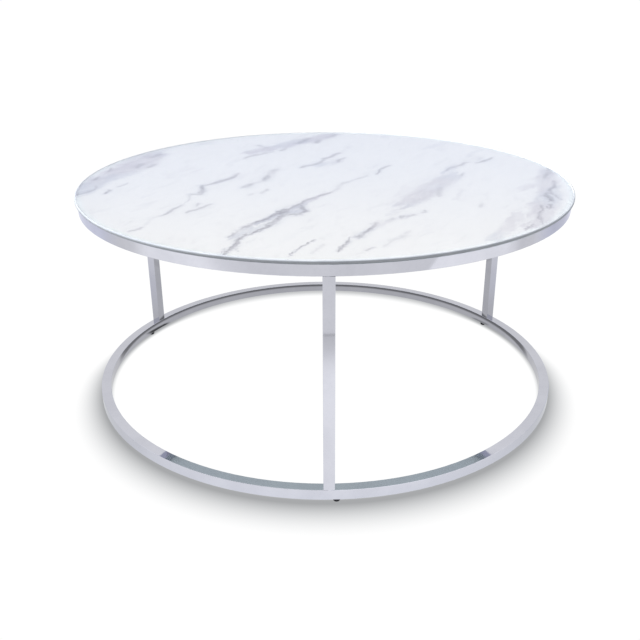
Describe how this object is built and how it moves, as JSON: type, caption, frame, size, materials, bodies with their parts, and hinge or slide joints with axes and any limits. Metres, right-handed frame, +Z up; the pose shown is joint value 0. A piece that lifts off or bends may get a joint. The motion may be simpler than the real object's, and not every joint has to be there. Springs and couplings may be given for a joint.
{
  "type": "coffee table",
  "caption": "Low round table: a marble-effect glass disc rests on a mirror-polished ring of square tube, held up by straight legs on a matching floor ring with small screw-in feet.",
  "frame": {"origin": "on the floor, under the middle of the round top", "axes": "+Z up; the front leg stands towards -Y, the other two at 30 and 150 degrees from +X"},
  "size_m": [0.9999, 1, 0.45],
  "materials": {
    "clear_glass": "clear float glass with a green tint in its polished rim",
    "marble_print": "white printed layer with soft grey marble veins",
    "polished_tube": "mirror-polished stainless tube",
    "zinc_steel": "zinc-plated steel",
    "clear_silicone": "clear silicone",
    "black_glide": "moulded black plastic, satin"
  },
  "bodies": {
    "frame": {"top_ring": "polished_tube", "base_ring": "polished_tube", "leg_front": "polished_tube", "leg_rear_right": "polished_tube", "leg_rear_left": "polished_tube", "leg_top_plug_front": "zinc_steel", "leg_top_plug_rear_right": "zinc_steel", "leg_top_plug_rear_left": "zinc_steel", "leg_base_plug_front": "zinc_steel", "leg_base_plug_rear_right": "zinc_steel", "leg_base_plug_rear_left": "zinc_steel", "top_screw_front": "zinc_steel", "top_screw_rear_right": "zinc_steel", "top_screw_rear_left": "zinc_steel", "base_screw_front": "zinc_steel", "base_screw_rear_right": "zinc_steel", "base_screw_rear_left": "zinc_steel", "top_washer_front": "zinc_steel", "top_washer_rear_right": "zinc_steel", "top_washer_rear_left": "zinc_steel", "base_washer_front": "zinc_steel", "base_washer_rear_right": "zinc_steel", "base_washer_rear_left": "zinc_steel", "top_lock_washer_front": "zinc_steel", "top_lock_washer_rear_right": "zinc_steel", "top_lock_washer_rear_left": "zinc_steel", "base_lock_washer_front": "zinc_steel", "base_lock_washer_rear_right": "zinc_steel", "base_lock_washer_rear_left": "zinc_steel", "foot_rivet_nut_front": "zinc_steel", "foot_rivet_nut_rear_right": "zinc_steel", "foot_rivet_nut_rear_left": "zinc_steel", "glass_pad_1": "clear_silicone", "glass_pad_2": "clear_silicone", "glass_pad_3": "clear_silicone", "glass_pad_4": "clear_silicone", "glass_pad_5": "clear_silicone", "glass_pad_6": "clear_silicone"},
    "top": {"glass_top": "clear_glass", "marble_print": "marble_print"},
    "foot_front": {"foot_stud_front": "zinc_steel", "foot_pad_front": "black_glide"},
    "foot_rear_right": {"foot_stud_rear_right": "zinc_steel", "foot_pad_rear_right": "black_glide"},
    "foot_rear_left": {"foot_stud_rear_left": "zinc_steel", "foot_pad_rear_left": "black_glide"}
  },
  "joints": [
    {"name": "top_lift", "type": "slide", "parent": "frame", "child": "top", "axis": [0, 0, 1], "range_m": [0, 0.1]},
    {"name": "foot_front_screw", "type": "slide", "parent": "frame", "child": "foot_front", "axis": [0, 0, -1], "range_m": [0, 0.01]},
    {"name": "foot_rear_right_screw", "type": "slide", "parent": "frame", "child": "foot_rear_right", "axis": [0, 0, -1], "range_m": [0, 0.01]},
    {"name": "foot_rear_left_screw", "type": "slide", "parent": "frame", "child": "foot_rear_left", "axis": [0, 0, -1], "range_m": [0, 0.01]}
  ]
}
